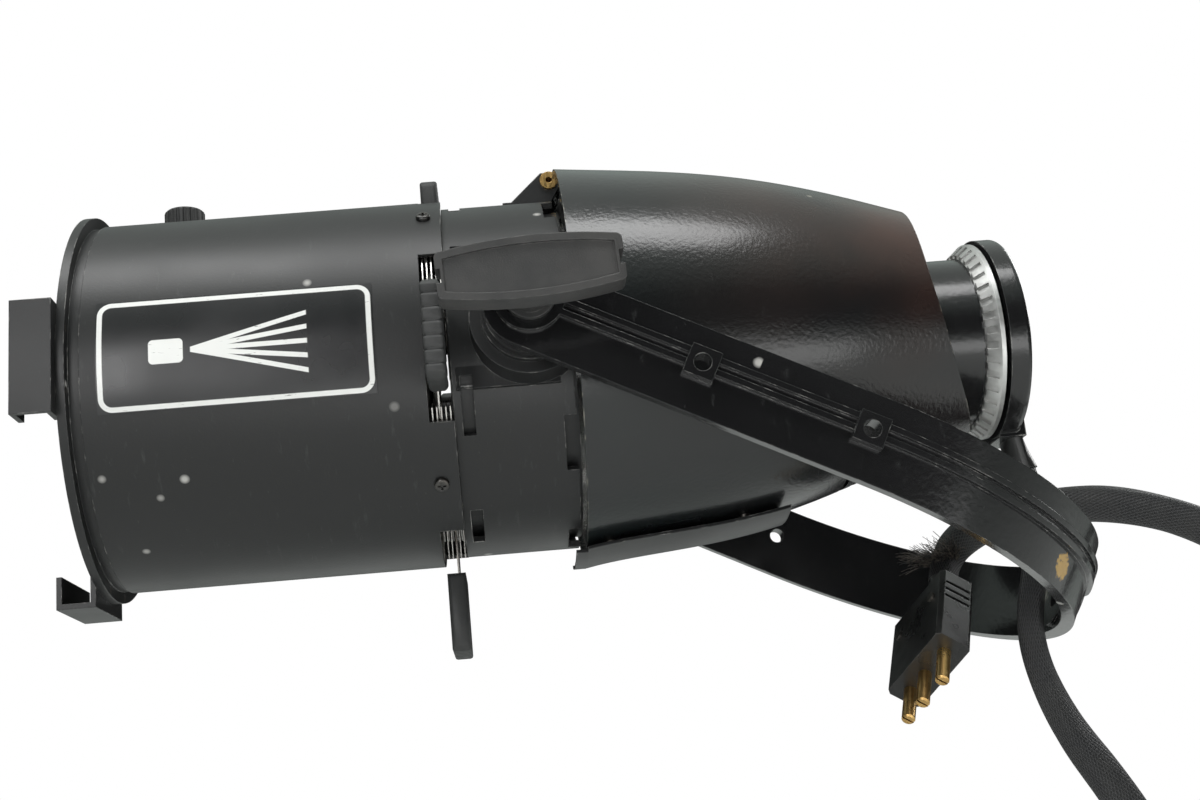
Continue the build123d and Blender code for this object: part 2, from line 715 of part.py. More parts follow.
def make_plug():
    long, wide, tall = plug_size
    body = Pos(0, 0, -tall / 2) * Box(long, wide, tall)
    body = chamfer(body.edges().filter_by(Axis.Z), 2.0)
    for step in range(3):
        body -= Pos(-long / 2, 0, -8 - 5.0 * step) * Box(3, wide - 5, 2)
    for place in pin_places:
        body -= Pos(place, 0, -tall) * Cylinder(pin_radius, 20)
    end = Vector(*lead_points[-1])
    back = (Vector(*lead_points[-2]) - end).normalized()
    foot = plug_place(Pos(neck_place, 0, -2) * RectangleRounded(16, 13, 3))
    top = Plane(origin=end, z_dir=back) * Circle(lead_diameter / 2)
    return plug_place(body) + loft([foot, top])


def make_pin(place):
    tall = plug_size[2]
    pin = Pos(place, 0, -tall - pin_length / 2 + 5) * Cylinder(pin_radius, pin_length + 10)
    pin = chamfer(pin.edges().group_by(Axis.Z)[0], 0.8)
    return plug_place(pin - Pos(place, 0, -tall - pin_length + 6) * Box(pin_slot, 10, 12))


def make_plug_screw(place):
    head = Pos(place, plug_size[1] / 2 + 0.6, -14) * Rot(90, 0, 0) * Cylinder(2.6, 1.2)
    return plug_place(head)


# ---- write every node

save("barrel", make_barrel())
save("front_ring", make_front_ring())
save("frame_claws", *[turned(make_claw(), a) for a in (90, 180, 270)])
save("claw_rivets", *[turned(claw_rivet_pair(claw_rivet_radius), a) for a in (90, 180, 270)])
barrel_screw = Pos(notch_front + 3, 0, barrel_radius) * pan_screw(1.7, barrel_wall, 3.4, 2.2)
save("barrel_screws", *[turned(barrel_screw, a) for a in (45, 135, 225, 315)])
label = sector(-189.0, -68.0, barrel_radius + 0.6, barrel_radius, 90, 16.5)
save("label_plate", label)

save("lens_carriage", make_carriage())
front_lens_x = carriage_front + 10
rear_lens_x = carriage_rear - 16 + shelf_depth
save("lens_front", make_lens(front_lens_x, -lens_crown))
save("lens_rear", make_lens(rear_lens_x, lens_crown))
ring_front = front_lens_x - lens_edge - lens_ring_rise
ring_rear = rear_lens_x + lens_edge + lens_ring_rise
save("lens_rings", tube(ring_front - lens_ring_depth, ring_front, carriage_bore, lens_ring_bore),
     tube(ring_rear, ring_rear + lens_ring_depth, carriage_bore, lens_ring_bore))
save("focus_stud", make_focus_stud())
save("focus_knob", make_knob())

save("gate_body", make_gate())
save("gate_plate", make_gate_plate())
save("guide_plate", make_guide_plate())
save("shutter_spacers", *[turned(make_spacer(), a) for a in (45, 135, 225, 315)])

shutters = (("top", 0, 0, top_inset), ("near", near_shutter_angle, 1, 0.0), ("bottom", 180, 2, 0.0), ("far", 270, 3, 4.0))
for name, angle, order, inset in shutters:
    save(f"shutter_{name}_blade", turned(make_blade(order, inset), angle))
    save(f"shutter_{name}_handle", turned(make_handle(order, inset), angle))

save("yoke", make_yoke())
for name, side in (("near", -1), ("far", 1)):
    save(f"pivot_washer_{name}", make_washer(side))
    save(f"pivot_bush_{name}", make_bush(side))
    save(f"t_handle_{name}", make_t_handle(side))
    save(f"t_stud_{name}", make_stud(side))

save("hinge_bracket", make_hinge_bracket())
save("hinge_rivet", make_hinge_rivet())
save("hood", make_hood())
save("bottom_plate", make_bottom_plate())
save("plate_posts", *[plate_post(x, y) for x in (32, 96) for y in (-14, 14)])
save("reflector", make_reflector())
save("tube_spider", make_baffle())
save("burner_tube", tube(tube_front, tube_rear, tube_radius, tube_radius - tube_wall))
save("finned_collar", make_collar())
save("burner_cap", make_cap())
socket_rear = cap_front
save("lamp_socket", disc(socket_rear - socket_length, socket_rear, socket_radius))
lamp_base_rear = socket_rear - socket_length
save("lamp_base", disc(lamp_base_rear - lamp_base_length, lamp_base_rear, lamp_base_radius))
lamp_rear = lamp_base_rear - lamp_base_length
lamp = disc(lamp_rear - lamp_length, lamp_rear, lamp_radius)
save("lamp", fillet(lamp.edges().sort_by(Axis.X)[0], lamp_radius * 0.8))
save("strain_relief", make_relief())
save("lead", make_lead())
save("plug_body", make_plug())
save("plug_pins", *[make_pin(place) for place in pin_places])
save("plug_screws", *[make_plug_screw(place) for place in (-15.0, 15.0)])
print("clamp hole at", [round(v, 2) for v in clamp_centre], "from the pivot")
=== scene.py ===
# %% [markdown]
# # A stage profile spotlight, dressed in Blender
# The engineering model of the spotlight is loaded first and kept still. Everything made here is either a
# finish for one of its parts or a soft or fine piece that engineering solids can't show well, such as the
# woven sleeve on the lead. Work goes from the camera and the lead to finishes, small pieces and light.

# %% Load the frame and keep its size
import math
import random
import bmesh
import bpy
from mathutils import Matrix, Vector


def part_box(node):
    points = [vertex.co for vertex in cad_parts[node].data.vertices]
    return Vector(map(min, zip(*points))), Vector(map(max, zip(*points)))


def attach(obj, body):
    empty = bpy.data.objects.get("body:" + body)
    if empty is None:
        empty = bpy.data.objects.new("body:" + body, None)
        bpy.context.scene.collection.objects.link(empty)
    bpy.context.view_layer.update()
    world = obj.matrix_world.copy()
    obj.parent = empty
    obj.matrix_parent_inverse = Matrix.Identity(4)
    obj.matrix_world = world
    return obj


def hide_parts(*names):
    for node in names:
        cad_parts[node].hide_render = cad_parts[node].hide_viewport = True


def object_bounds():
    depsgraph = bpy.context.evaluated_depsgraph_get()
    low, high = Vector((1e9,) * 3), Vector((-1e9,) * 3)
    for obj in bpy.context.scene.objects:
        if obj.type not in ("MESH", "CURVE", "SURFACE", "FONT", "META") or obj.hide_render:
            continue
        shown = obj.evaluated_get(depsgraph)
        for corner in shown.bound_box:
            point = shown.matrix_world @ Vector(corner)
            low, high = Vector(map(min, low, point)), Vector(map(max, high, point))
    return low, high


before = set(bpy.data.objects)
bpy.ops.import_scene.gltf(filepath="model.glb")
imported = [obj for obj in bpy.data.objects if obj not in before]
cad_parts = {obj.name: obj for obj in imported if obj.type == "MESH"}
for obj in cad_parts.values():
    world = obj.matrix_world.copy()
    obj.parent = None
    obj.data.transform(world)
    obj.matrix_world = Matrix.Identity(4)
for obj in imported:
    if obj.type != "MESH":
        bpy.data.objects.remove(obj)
cad_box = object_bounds()
random.seed(7)
print("parts:", len(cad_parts), "box:", [[round(v, 3) for v in corner] for corner in cad_box])

# %% [markdown]
# ## Camera
# The spotlight is looked at from its near side and a little below, with the lens to the left. A camera can
# be turned with Euler angles, but its three direction vectors can also be written straight into its matrix,
# which avoids any doubt about the order of turns. A small shift frames the object without tilting the view.

# %% Camera
view_right = Vector((0.9959, -0.0100, -0.0850)).normalized()
view_ahead = Vector((0.0330, 0.9610, 0.2740)).normalized()
view_up = view_right.cross(view_ahead).normalized()
view_right = view_ahead.cross(view_up).normalized()
camera = bpy.data.objects.new("camera", bpy.data.cameras.new("camera"))
bpy.context.scene.collection.objects.link(camera)
camera.matrix_world = Matrix.Translation((-0.2686, -0.7625, -0.0828)) @ Matrix(
    (view_right, view_up, -view_ahead)).transposed().to_4x4()
camera.data.lens = 48.34
camera.data.shift_x = 0.0572
camera.data.shift_y = -0.0285
camera.data.clip_start = 0.01
bpy.context.scene.camera = camera
print("camera looks", round(math.degrees(math.asin(view_ahead.z)), 1), "degrees above level")

# %% [markdown]
# ## The lead's route
# The lead leaves a strain relief under the burner cap, drops through the yoke, hangs in one long loop and
# comes back over the yoke to its plug. A NURBS curve gives a smooth line from few control points, and is what
# a limp, heavy sleeve looks like. The order is set after the points, or it would stay at straight runs.

# %% Route of the lead
lead_points = [
    (-0.0084, 0.0040, 0.0627), (-0.0040, 0.0040, 0.0407), (-0.0110, 0.0000, 0.0167), (-0.0230, -0.0060, -0.0173),
    (-0.0130, -0.0030, -0.0553), (0.0110, 0.0010, -0.0933), (0.0310, 0.0000, -0.1393), (0.0450, 0.0030, -0.1873),
    (0.0630, 0.0060, -0.2293), (0.0930, 0.0100, -0.2573), (0.1310, 0.0150, -0.2573), (0.1610, 0.0210, -0.2293),
    (0.1730, 0.0280, -0.1853), (0.1750, 0.0360, -0.1333), (0.1710, 0.0430, -0.0793), (0.1590, 0.0500, -0.0293),
    (0.1350, 0.0560, 0.0107), (0.0990, 0.0600, 0.0387), (0.0590, 0.0600, 0.0527), (0.0230, 0.0610, 0.0547),
    (-0.0070, 0.0630, 0.0507), (-0.0280, 0.0605, 0.0407), (-0.0399, 0.0518, 0.0286), (-0.0457, 0.0403, 0.0160),
]
route = bpy.data.curves.new("lead_route", "CURVE")
route.dimensions = "3D"
route.resolution_u = 16
spline = route.splines.new("NURBS")
spline.points.add(len(lead_points) - 1)
for point, place in zip(spline.points, lead_points):
    point.co = (*place, 1.0)
spline.order_u = 3
spline.use_endpoint_u = True
route_object = bpy.data.objects.new("lead_route", route)
line = bpy.data.meshes.new_from_object(route_object)
lead_path = [v.co.copy() for v in line.vertices]
lead_length = sum((b - a).length for a, b in zip(lead_path, lead_path[1:]))
bpy.data.objects.remove(route_object)
print("lead:", round(lead_length, 3), "m along", len(lead_path), "points")

# %% [markdown]
# ## The woven sleeve
# The real lead is a flat woven sleeve over three wires, which twists as it hangs. A round bevel can't show
# that, so a ring of vertices is carried along the route, wider than it is thick, and turned slowly about it.
# The ring's frame is carried from point to point, which keeps it from flipping. The sleeve is round at both
# ends, where it enters the strain relief and the plug, and it has a map along and around it for the weave.

# %% Flat sleeve mesh
sleeve_width = 0.0196
sleeve_thickness = 0.0122
ring_count = 28


def new_piece(name, mesh):
    """A new object in the scene, shaded smooth."""
    piece = bpy.data.objects.new(name, mesh)
    bpy.context.scene.collection.objects.link(piece)
    mesh.shade_smooth()
    return piece


def smooth_step(value):
    value = min(max(value, 0.0), 1.0)
    return value * value * (3 - 2 * value)


sleeve_form = bmesh.new()
sleeve_map = sleeve_form.loops.layers.uv.new("sleeve")
rings = []
side = Vector((0.0, 1.0, 0.0))
travelled = 0.0
for index, here in enumerate(lead_path):
    before = lead_path[max(index - 1, 0)]
    after = lead_path[min(index + 1, len(lead_path) - 1)]
    along = (after - before).normalized()
    side = (side - along * side.dot(along)).normalized()
    up = along.cross(side)
    if index:
        travelled += (here - before).length
    flat = smooth_step(travelled / 0.03) * smooth_step((lead_length - travelled) / 0.03)
    twist = 0.35 + 1.5 * smooth_step((travelled - 0.05) / 0.2) - 1.3 * smooth_step((travelled - 0.45) / 0.3)
    wide = 0.0070 + (sleeve_width / 2 - 0.0070) * flat
    thick = 0.0068 + (sleeve_thickness / 2 - 0.0068) * flat
    ring = []
    for step in range(ring_count):
        angle = 2 * math.pi * step / ring_count
        squared = 1 + 0.05 * math.cos(4 * angle + math.pi)
        wobble = 1 + 0.025 * math.sin(travelled * 90 + 2 * angle)
        across = math.cos(angle) * wide * squared * wobble
        over = math.sin(angle) * thick * squared
        turned_across = across * math.cos(twist) - over * math.sin(twist)
        turned_over = across * math.sin(twist) + over * math.cos(twist)
        ring.append(sleeve_form.verts.new(here + side * turned_across + up * turned_over))
    rings.append((ring, travelled))
for (low, low_at), (high, high_at) in zip(rings, rings[1:]):
    for step in range(ring_count):
        nearby = (step + 1) % ring_count
        face = sleeve_form.faces.new((low[step], low[nearby], high[nearby], high[step]))
        places = ((step, low_at), (step + 1, low_at), (step + 1, high_at), (step, high_at))
        for loop, (turn, reach) in zip(face.loops, places):
            loop[sleeve_map].uv = (turn / ring_count, reach)
sleeve_form.faces.new(rings[0][0][::-1])
sleeve_form.faces.new(rings[-1][0])
bmesh.ops.recalc_face_normals(sleeve_form, faces=sleeve_form.faces)
sleeve_mesh = bpy.data.meshes.new("lead_sleeve")
sleeve_form.to_mesh(sleeve_mesh)
sleeve_form.free()
lead_sleeve = new_piece("lead_sleeve", sleeve_mesh)
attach(lead_sleeve, "burner")
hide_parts("lead")
print("sleeve:", len(sleeve_mesh.polygons), "faces")

# %% [markdown]
# ### The frayed end
# Where the sleeve meets the plug it was cut, and its threads have sprung out in a tuft. Hair could do this,
# but a handful of fine tubes is lighter to keep and exports as plain mesh. Each thread starts on the
# sleeve's end and curls outward, and all are joined in one mesh.

# %% Frayed threads at the plug
thread_form = bmesh.new()
tuft_foot = Vector(lead_points[-2])
tuft_aim = Vector((-0.75, -0.45, 0.50)).normalized()


def add_thread(form, start, aim, length, radius, curl):
    """One thread: a thin three-sided tube that bends towards curl."""
    steps = 6
    previous = None
    for step in range(steps + 1):
        share = step / steps
        centre = start + aim * length * share + curl * length * share * share
        tangent = (aim + curl * 2 * share).normalized()
        one = tangent.orthogonal().normalized()
        two = tangent.cross(one)
        width = radius * (1 - 0.5 * share)
        corners = []
        for corner in range(3):
            angle = 2 * math.pi * corner / 3
            rim = one * math.cos(angle) * width + two * math.sin(angle) * width
            corners.append(form.verts.new(centre + rim))
        if previous:
            for corner in range(3):
                nearby = (corner + 1) % 3
                form.faces.new((previous[corner], previous[nearby], corners[nearby], corners[corner]))
        else:
            form.faces.new(corners[::-1])
        previous = corners
    form.faces.new(previous)


for count in range(420):
    angle = random.uniform(0, 2 * math.pi)
    out = Vector((math.cos(angle), math.sin(angle), random.uniform(-0.3, 0.5)))
    start = tuft_foot + Vector((math.cos(angle) * 0.0068, math.sin(angle) * 0.0068,
                                random.uniform(-0.002, 0.003)))
    aim = (tuft_aim + out * random.uniform(0.2, 0.75)).normalized()
    curl = Vector((random.uniform(-0.3, 0.3), random.uniform(-0.3, 0.3), random.uniform(-0.5, 0.1)))
    add_thread(thread_form, start, aim, random.uniform(0.007, 0.018), 0.00026, curl)
thread_mesh = bpy.data.meshes.new("sleeve_fray")
thread_form.to_mesh(thread_mesh)
thread_form.free()
sleeve_fray = new_piece("sleeve_fray", thread_mesh)
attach(sleeve_fray, "burner")
print("threads:", len(thread_mesh.polygons), "faces")

# %% [markdown]
# ## Shutter grips
# Each framing shutter ends in a moulded grip with seven rounded ribs that wrap over its outer edge, so a
# finger finds it in the dark. The frame's grip is a plain block, so a ribbed one stands in its place. Its
# outline is a stack of cross-sections that swell and pinch along the grip, then joined side to side.

# %% Ribbed grips
beam_z = 0.128725
grip_names = {"top": 0.0, "near": 95.0, "bottom": 180.0, "far": 270.0}


def grip_mesh(name, width, depth, low, high, ribs):
    """A grip drawn at the top: width across, depth along the beam, from low to high above the axis."""
    form = bmesh.new()
    steps = ribs * 10
    sections = []
    for step in range(steps + 1):
        share = step / steps
        across = (share - 0.5) * width
        wave = (share * ribs) % 1.0
        swell = 0.9 * (1 - abs(2 * wave - 1) ** 5) - 0.9
        end = 2.4 * max(0.0, abs(2 * share - 1) - 0.88) / 0.12
        half = depth / 2 + (swell - end * 0.35) / 1000
        top = high + (swell - end) / 1000
        foot = low + end / 1000
        soft = 0.0012
        corners = ((-half, foot), (-half, top - soft), (-half + soft * 0.3, top - soft * 0.3), (-half + soft, top),
                   (half - soft, top), (half - soft * 0.3, top - soft * 0.3), (half, top - soft), (half, foot))
        sections.append([form.verts.new((along, across, reach)) for along, reach in corners])
    for before, after in zip(sections, sections[1:]):
        for turn in range(8):
            nearby = (turn + 1) % 8
            form.faces.new((before[turn], before[nearby], after[nearby], after[turn]))
    form.faces.new(sections[0])
    form.faces.new(sections[-1][::-1])
    bmesh.ops.recalc_face_normals(form, faces=form.faces)
    mesh = bpy.data.meshes.new(name)
    form.to_mesh(mesh)
    form.free()
    return mesh


grips = []
for where, angle in grip_names.items():
    low_corner, high_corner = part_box(f"shutter_{where}_handle")
    middle_x = (low_corner[0] + high_corner[0]) / 2
    reach = max(abs(low_corner[2] - beam_z), abs(high_corner[2] - beam_z), abs(low_corner[1]), abs(high_corner[1]))
    outer = reach - (0.0018 if where == "near" else 0.0)
    mesh = grip_mesh(f"grip_{where}", 0.042, 0.0086, outer - 0.036, outer, 7)
    turn = Matrix.Rotation(math.radians(angle), 4, "X")
    mesh.transform(Matrix.Translation((middle_x, 0.0, beam_z)) @ turn)
    grip = new_piece(f"grip_{where}", mesh)
    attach(grip, f"shutter_{where}")
    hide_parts(f"shutter_{where}_handle")
    grips.append(grip)
    print(grip.name, "reaches", round(outer * 1000, 1), "mm from the beam")

# %% [markdown]
# ## Guide rings and light baffle
# Thin steel rings keep the shutter blades apart, and their edges show as bright lines in the barrel's
# notches. Each ring is broken where a grip slides through. A dark tube inside the gate stops stray light from
# leaking out of its vents. Both are swept from a short profile, a small piece of code that makes clean faces.

# %% Rings and baffle


def ring_band(form, x_low, x_high, inner, outer, start, end):
    """A band about the beam between two angles, 0 at the top and 90 on the near side."""
    steps = max(int(abs(end - start) / 3), 2)
    previous = None
    for step in range(steps + 1):
        angle = math.radians(start + (end - start) * step / steps)
        ends = []
        for x, radius in ((x_low, inner), (x_low, outer), (x_high, outer), (x_high, inner)):
            ends.append(form.verts.new((x, -radius * math.sin(angle), beam_z + radius * math.cos(angle))))
        if previous:
            for corner in range(4):
                nearby = (corner + 1) % 4
                form.faces.new((previous[corner], previous[nearby], ends[nearby], ends[corner]))
        else:
            form.faces.new(ends[::-1])
        previous = ends
    form.faces.new(previous)


def band_piece(name, bands_given):
    form = bmesh.new()
    for band in bands_given:
        ring_band(form, *band)
    bmesh.ops.recalc_face_normals(form, faces=form.faces)
    mesh = bpy.data.meshes.new(name)
    form.to_mesh(mesh)
    form.free()
    piece = new_piece(name, mesh)
    mesh.shade_flat()
    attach(piece, "housing")
    return piece


pivot_x = -0.245003
blade_gaps = (-45.1, -43.1, -41.1, -39.1, -37.1)
arcs = ((17, 78), (112, 163), (197, 253), (287, 343))
half_sheet = 0.3
guides = band_piece("guide_rings", [(pivot_x + (place - half_sheet) / 1000, pivot_x + (place + half_sheet) / 1000,
                                     0.070, 0.086, *arc)
                                    for place in blade_gaps for arc in arcs])
baffle = band_piece("light_baffle", [(pivot_x - 0.0362, pivot_x + 0.0195, 0.0785, 0.0795, 0, 360)])
print("guide rings:", len(guides.data.polygons), "faces; baffle:", len(baffle.data.polygons), "faces")

# %% [markdown]
# ## Paper tag
# A scrap of an old inventory tag is stuck to the inside of the far arm. Paper never lies quite flat, so its
# sheet is a grid whose loose corner curls away from the metal. It stays blank.

# %% Paper tag
tag_form = bmesh.new()
bmesh.ops.create_grid(tag_form, x_segments=10, y_segments=10, size=0.5)
for vertex in tag_form.verts:
    across, rise = vertex.co.x, vertex.co.y
    curl = 0.0018 * max(0.0, across + rise - 0.2) ** 2
    vertex.co = (across * 0.017, -curl, rise * 0.012)
tag_mesh = bpy.data.meshes.new("paper_tag")
tag_form.to_mesh(tag_mesh)
tag_form.free()
tag_mesh.transform(Matrix.Translation((-0.0905, 0.1185, 0.0325)) @ Matrix.Rotation(math.radians(27.2), 4, "Y"))
paper_tag = new_piece("paper_tag", tag_mesh)
tag_sheet = paper_tag.modifiers.new("thickness", "SOLIDIFY")
tag_sheet.thickness = 0.0002
tag_sheet.offset = 0.0
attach(paper_tag, "yoke")
print("tag:", len(tag_mesh.polygons), "faces")

# %% [markdown]
# ## A small kit for finishes
# Every finish is built from nodes that read the piece's own coordinates in metres, so a scratch or a weave
# has its real size and rides with the piece. One small class keeps the node calls short: it makes a node,
# sets its values and joins its inputs. Values that don't vary are set on the shader's own sockets.

# %% Finish kit


class Finish:
    """A material and short ways to add nodes to it."""

    def __init__(self, name):
        self.material = bpy.data.materials.new(name)
        self.material.use_nodes = True
        self.nodes = self.material.node_tree.nodes
        self.links = self.material.node_tree.links
        self.shader = self.nodes["Principled BSDF"]
        self.place = self.nodes.new("ShaderNodeTexCoord").outputs["Object"]

    def set(self, **values):
        for key, value in values.items():
            self.shader.inputs[key.replace("_", " ")].default_value = value

    def join(self, source, target):
        if isinstance(source, (int, float, tuple)):
            target.default_value = source
        else:
            self.links.new(source, target)

    def math(self, kind, first, second=0.0, third=0.0):
        node = self.nodes.new("ShaderNodeMath")
        node.operation = kind
        for value, socket in zip((first, second, third), node.inputs):
            self.join(value, socket)
        return node.outputs[0]

    def stretch(self, scale, turn=(0, 0, 0)):
        node = self.nodes.new("ShaderNodeMapping")
        self.links.new(self.place, node.inputs["Vector"])
        node.inputs["Scale"].default_value = scale
        node.inputs["Rotation"].default_value = turn
        return node.outputs[0]

    def noise(self, scale, detail=3.0, rough=0.5, place=None):
        node = self.nodes.new("ShaderNodeTexNoise")
        self.links.new(place or self.place, node.inputs["Vector"])
        node.inputs["Scale"].default_value = scale
        node.inputs["Detail"].default_value = detail
        node.inputs["Roughness"].default_value = rough
        return node.outputs[0]

    def cells(self, scale, feature="F1", place=None):
        node = self.nodes.new("ShaderNodeTexVoronoi")
        node.feature = feature
        self.links.new(place or self.place, node.inputs["Vector"])
        node.inputs["Scale"].default_value = scale
        return node

    def ramp(self, value, low, high, start=0.0, end=1.0):
        node = self.nodes.new("ShaderNodeMapRange")
        self.links.new(value, node.inputs["Value"])
        for key, number in (("From Min", low), ("From Max", high), ("To Min", start), ("To Max", end)):
            node.inputs[key].default_value = number
        return node.outputs[0]

    def blend(self, share, first, second):
        node = self.nodes.new("ShaderNodeMix")
        node.data_type = "RGBA"
        self.join(share, node.inputs[0])
        self.join(first, node.inputs[6])
        self.join(second, node.inputs[7])
        return node.outputs[2]

    def edge(self, radius, low=0.02, high=0.2):
        """1 on edges sharper than radius, 0 on flats: a rounded normal is compared with the true one."""
        bevel = self.nodes.new("ShaderNodeBevel")
        bevel.samples = 4
        bevel.inputs["Radius"].default_value = radius
        shape = self.nodes.new("ShaderNodeNewGeometry")
        dot = self.nodes.new("ShaderNodeVectorMath")
        dot.operation = "DOT_PRODUCT"
        self.links.new(bevel.outputs[0], dot.inputs[0])
        self.links.new(shape.outputs["Normal"], dot.inputs[1])
        return self.ramp(self.math("SUBTRACT", 1.0, dot.outputs["Value"]), low, high)

    def relief(self, height, depth, soft_edge=0.0):
        """Bump of a real depth in metres, over edges softened by soft_edge."""
        bump = self.nodes.new("ShaderNodeBump")
        bump.inputs["Distance"].default_value = depth
        self.links.new(height, bump.inputs["Height"])
        if soft_edge:
            bevel = self.nodes.new("ShaderNodeBevel")
            bevel.samples = 4
            bevel.inputs["Radius"].default_value = soft_edge
            self.links.new(bevel.outputs[0], bump.inputs["Normal"])
        self.links.new(bump.outputs[0], self.shader.inputs["Normal"])

    def colour(self, value):
        self.join(value, self.shader.inputs["Base Color"])

    def rough(self, value):
        self.join(value, self.shader.inputs["Roughness"])


def dress(finish, *names):
    """Puts a finish on the frame's parts."""
    for name in names:
        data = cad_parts[name].data
        if not data.materials:
            data.materials.append(finish.material)
        for index in range(len(data.materials)):
            data.materials[index] = finish.material
    print(finish.material.name, "on", len(names), "parts")


# %% [markdown]
# ## Baked black paint
# The barrel, claws and gate are sheet and cast aluminium under a thin satin black paint. Years of handling
# leave long pale rubs, pin-point chips and bare metal on edges. The rubs are noise stretched across the
# piece, the chips are a few cells of a fine cell pattern, and the edges are found from the shape itself, so
# no wear has to be painted by hand. Every edge also gets a thin pale line, a painted highlight where light
# would catch it. The hood and yoke use the same recipe with a glossier coat.

# %% Paint recipe


def painted(name, base, low_rough, high_rough, grain, grain_depth, rub, chip, edge_radius,
            metal=(0.42, 0.41, 0.39, 1)):
    paint = Finish(name)
    cloud = paint.noise(14, 4)
    fine = paint.noise(grain, 2)
    long_rub = paint.noise(9, 5, 0.62, paint.stretch((30, 2.5, 9), (0.3, 0.25, 0.5)))
    rubs = paint.math("MULTIPLY", paint.ramp(long_rub, 0.62, 0.74), rub)
    hair = paint.noise(16, 2, 0.5, paint.stretch((60, 2, 24), (0.9, 0.4, 0.2)))
    hairline = paint.math("MULTIPLY", paint.ramp(hair, 0.735, 0.76), rub)
    dots = paint.cells(85)
    dice = paint.nodes.new("ShaderNodeSeparateXYZ")
    paint.links.new(dots.outputs["Color"], dice.inputs[0])
    pick = paint.ramp(dice.outputs["X"], 1.0 - chip, 1.0 - chip + 0.004)
    specks = paint.math("MULTIPLY", paint.ramp(dots.outputs["Distance"], 0.22, 0.1), pick)
    worn = paint.math("MULTIPLY", paint.edge(edge_radius), paint.ramp(paint.noise(120, 4, 0.7), 0.52, 0.66))
    bare = paint.math("MAXIMUM", specks, worn)
    # painted highlight: a pale line along every sharp edge, with no noise, standing in for light the edge catches
    painted_edge_highlight = paint.math("MULTIPLY", paint.edge(edge_radius * 0.8, 0.05, 0.3), 0.5)
    scuffs_and_edge_highlight = paint.math("MAXIMUM", paint.math("MAXIMUM", rubs, hairline), painted_edge_highlight)
    # the pale rub colour carries the real rubs and scratches and also the painted edge highlight
    rubbed_and_highlit_paint = paint.blend(scuffs_and_edge_highlight, base, (0.085, 0.087, 0.086, 1))
    paint.colour(paint.blend(bare, rubbed_and_highlit_paint, metal))
    gloss = paint.ramp(cloud, 0.3, 0.7, low_rough, high_rough)
    paint.rough(paint.math("ADD", gloss, paint.math("MULTIPLY", rubs, 0.18)))
    paint.relief(paint.math("SUBTRACT", fine, paint.math("MULTIPLY", bare, 0.8)), grain_depth, 0.0006)
    paint.set(Specular_IOR_Level=0.42)
    return paint


satin_black = painted("satin_black_paint", (0.011, 0.0112, 0.0115, 1), 0.34, 0.46, 900, 0.00004, 0.22, 0.03, 0.0009)
gloss_black = painted("gloss_black_paint", (0.008, 0.008, 0.0085, 1), 0.16, 0.27, 420, 0.00010, 0.14, 0.022, 0.0011)
gloss_black.set(Coat_Weight=0.35, Coat_Roughness=0.12)
dress(satin_black, "barrel", "front_ring", "frame_claws", "gate_body", "hinge_bracket", "bottom_plate",
      "pivot_washer_near", "pivot_washer_far", "pivot_bush_near", "pivot_bush_far")
dress(gloss_black, "burner_tube", "burner_cap")

# %% [markdown]
# ### Hood
# The hood gets hot, so its paint is thicker and slightly pebbled, and heat has browned it towards the burner
# end and left a cool cast lower down. Two wide masks along the hood tint the same black.

# %% Hood finish
hood_paint = painted("hood_paint", (0.009, 0.009, 0.0095, 1), 0.17, 0.30, 520, 0.00016, 0.10, 0.018, 0.0011,
                     (0.62, 0.58, 0.48, 1))
axes = hood_paint.nodes.new("ShaderNodeSeparateXYZ")
hood_paint.links.new(hood_paint.place, axes.inputs[0])
painted_colour = hood_paint.shader.inputs["Base Color"].links[0].from_socket
rear = hood_paint.ramp(axes.outputs["X"], -0.20, -0.07)
height = hood_paint.ramp(axes.outputs["Z"], 0.07, 0.17)
cloudy = hood_paint.ramp(hood_paint.noise(11, 3), 0.35, 0.65)
browned = hood_paint.math("MULTIPLY", hood_paint.math("MULTIPLY", rear, height), cloudy)
brown = hood_paint.blend(hood_paint.math("MULTIPLY", browned, 0.85), painted_colour, (0.055, 0.022, 0.015, 1))
cool = hood_paint.math("MULTIPLY", hood_paint.math("SUBTRACT", 1.0, rear), cloudy)
hood_paint.colour(hood_paint.blend(hood_paint.math("MULTIPLY", cool, 0.30), brown, (0.012, 0.022, 0.022, 1)))
hood_paint.set(Coat_Weight=0.3, Coat_Roughness=0.16)
dress(hood_paint, "hood")

# %% [markdown]
# ### Yoke
# The yoke is a cast U that clamps and chains rub against. Near the bail's corner the paint has gone down to a
# brassy primer in a few clustered spots, and by the clamp it is down to bright metal. Each spot is a soft
# ball in space, broken up by noise, and mixed over the paint.

# %% Yoke finish
yoke_paint = painted("yoke_paint", (0.0075, 0.0075, 0.008, 1), 0.14, 0.26, 380, 0.00010, 0.16, 0.03, 0.0006)
yoke_colour = yoke_paint.shader.inputs["Base Color"].links[0].from_socket


def spot_mask(finish, centre, radius, grit):
    """1 inside a ball about centre, with a ragged edge."""
    gap = finish.nodes.new("ShaderNodeVectorMath")
    gap.operation = "DISTANCE"
    finish.links.new(finish.place, gap.inputs[0])
    gap.inputs[1].default_value = centre
    near = finish.ramp(gap.outputs["Value"], radius, radius * 0.3)
    return finish.ramp(finish.math("MULTIPLY", near, finish.noise(grit, 4, 0.7)), 0.30, 0.38)


